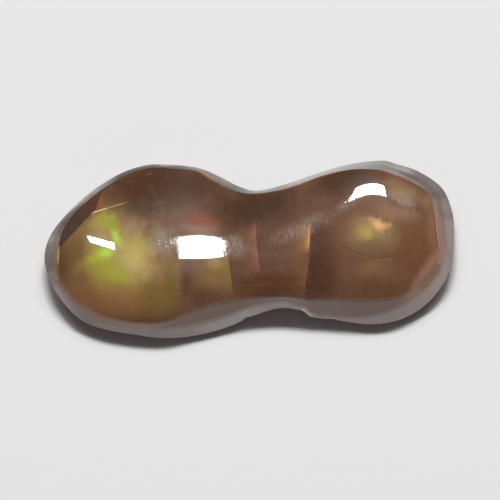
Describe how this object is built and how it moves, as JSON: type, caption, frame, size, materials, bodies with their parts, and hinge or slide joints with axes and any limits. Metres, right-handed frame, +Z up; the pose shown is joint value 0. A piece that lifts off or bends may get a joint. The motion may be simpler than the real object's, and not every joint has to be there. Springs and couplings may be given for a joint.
{
  "type": "fire agate cabochon",
  "caption": "Freeform polished agate cabochon with a domed crown, rounded lobes and a waist between them, on a flat ground back.",
  "frame": {"origin": "centre of the stone's length and width, on its flat back", "axes": "+X along the stone, +Y towards its back edge, +Z up, out of the flat back through the crown"},
  "size_m": [0.0224, 0.0099, 0.003],
  "materials": {
    "stone": "high polish"
  },
  "bodies": {
    "root": {"stone": "stone"}
  },
  "joints": []
}
